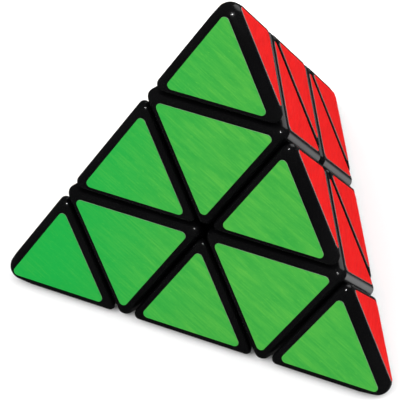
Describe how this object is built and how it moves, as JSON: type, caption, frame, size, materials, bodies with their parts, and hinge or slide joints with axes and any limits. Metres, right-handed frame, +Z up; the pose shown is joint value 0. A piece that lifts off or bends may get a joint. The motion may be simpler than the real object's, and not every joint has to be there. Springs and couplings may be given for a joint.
{
  "type": "pyramid twisty puzzle",
  "caption": "Pyramid twisty puzzle with coloured foil stickers on black pieces; its top layer turns about a spring-loaded core and its corner tips turn on their own.",
  "frame": {"origin": "centre of the base triangle, on the plane the puzzle stands on (the outer face of the base stickers)", "axes": "+Z up through the top vertex, -Y out of the green front face, +X towards the right-hand base vertex"},
  "size_m": [0.0994, 0.0871, 0.0814],
  "materials": {
    "black_plastic": "glossy moulded black",
    "core_plastic": "plain moulded off-white",
    "screw_steel": "turned and zinc plated",
    "washer_steel": "stamped bright",
    "spring_steel": "drawn wire",
    "sticker_green": "brushed foil",
    "sticker_red": "brushed foil",
    "sticker_yellow": "brushed foil",
    "sticker_blue": "brushed foil"
  },
  "bodies": {
    "lower_layers": {"core": "core_plastic", "screw_top": "screw_steel", "screw_left": "screw_steel", "screw_right": "screw_steel", "screw_back": "screw_steel", "washer_top": "washer_steel", "washer_left": "washer_steel", "washer_right": "washer_steel", "washer_back": "washer_steel", "spring_top": "spring_steel", "spring_left": "spring_steel", "spring_right": "spring_steel", "spring_back": "spring_steel", "axial_shell_left": "black_plastic", "axial_shell_right": "black_plastic", "axial_shell_back": "black_plastic", "axial_hub_left": "black_plastic", "axial_hub_right": "black_plastic", "axial_hub_back": "black_plastic", "edge_shell_left_right": "black_plastic", "edge_shell_right_back": "black_plastic", "edge_shell_back_left": "black_plastic", "edge_foot_left_right": "black_plastic", "edge_foot_right_back": "black_plastic", "edge_foot_back_left": "black_plastic", "stickers_blue_lower": "sticker_blue", "stickers_red_lower": "sticker_red", "stickers_yellow_lower": "sticker_yellow", "stickers_green_lower": "sticker_green"},
    "top_layer": {"axial_shell_top": "black_plastic", "axial_hub_top": "black_plastic", "edge_shell_top_left": "black_plastic", "edge_shell_top_right": "black_plastic", "edge_shell_top_back": "black_plastic", "edge_foot_top_left": "black_plastic", "edge_foot_top_right": "black_plastic", "edge_foot_top_back": "black_plastic", "stickers_red_upper": "sticker_red", "stickers_yellow_upper": "sticker_yellow", "stickers_green_upper": "sticker_green"},
    "tip_top": {"tip_shell_top": "black_plastic", "tip_base_top": "black_plastic", "sticker_red_tip_top": "sticker_red", "sticker_yellow_tip_top": "sticker_yellow", "sticker_green_tip_top": "sticker_green"},
    "tip_left": {"tip_shell_left": "black_plastic", "tip_base_left": "black_plastic", "sticker_blue_tip_left": "sticker_blue", "sticker_yellow_tip_left": "sticker_yellow", "sticker_green_tip_left": "sticker_green"},
    "tip_right": {"tip_shell_right": "black_plastic", "tip_base_right": "black_plastic", "sticker_blue_tip_right": "sticker_blue", "sticker_red_tip_right": "sticker_red", "sticker_green_tip_right": "sticker_green"},
    "tip_back": {"tip_shell_back": "black_plastic", "tip_base_back": "black_plastic", "sticker_blue_tip_back": "sticker_blue", "sticker_red_tip_back": "sticker_red", "sticker_yellow_tip_back": "sticker_yellow"}
  },
  "joints": [
    {"name": "top_layer_turn", "type": "hinge", "parent": "lower_layers", "child": "top_layer", "pos_m": [0, 0, 0.02211], "axis": [0, 0, 1], "continuous": true},
    {"name": "tip_top_turn", "type": "hinge", "parent": "top_layer", "child": "tip_top", "pos_m": [0, 0, 0.02211], "axis": [0, 0, 1], "continuous": true},
    {"name": "tip_left_turn", "type": "hinge", "parent": "lower_layers", "child": "tip_left", "pos_m": [0, 0, 0.02211], "axis": [-0.8165, -0.4714, -0.3333], "continuous": true},
    {"name": "tip_right_turn", "type": "hinge", "parent": "lower_layers", "child": "tip_right", "pos_m": [0, 0, 0.02211], "axis": [0.8165, -0.4714, -0.3333], "continuous": true},
    {"name": "tip_back_turn", "type": "hinge", "parent": "lower_layers", "child": "tip_back", "pos_m": [0, 0, 0.02211], "axis": [0, 0.9428, -0.3333], "continuous": true}
  ]
}
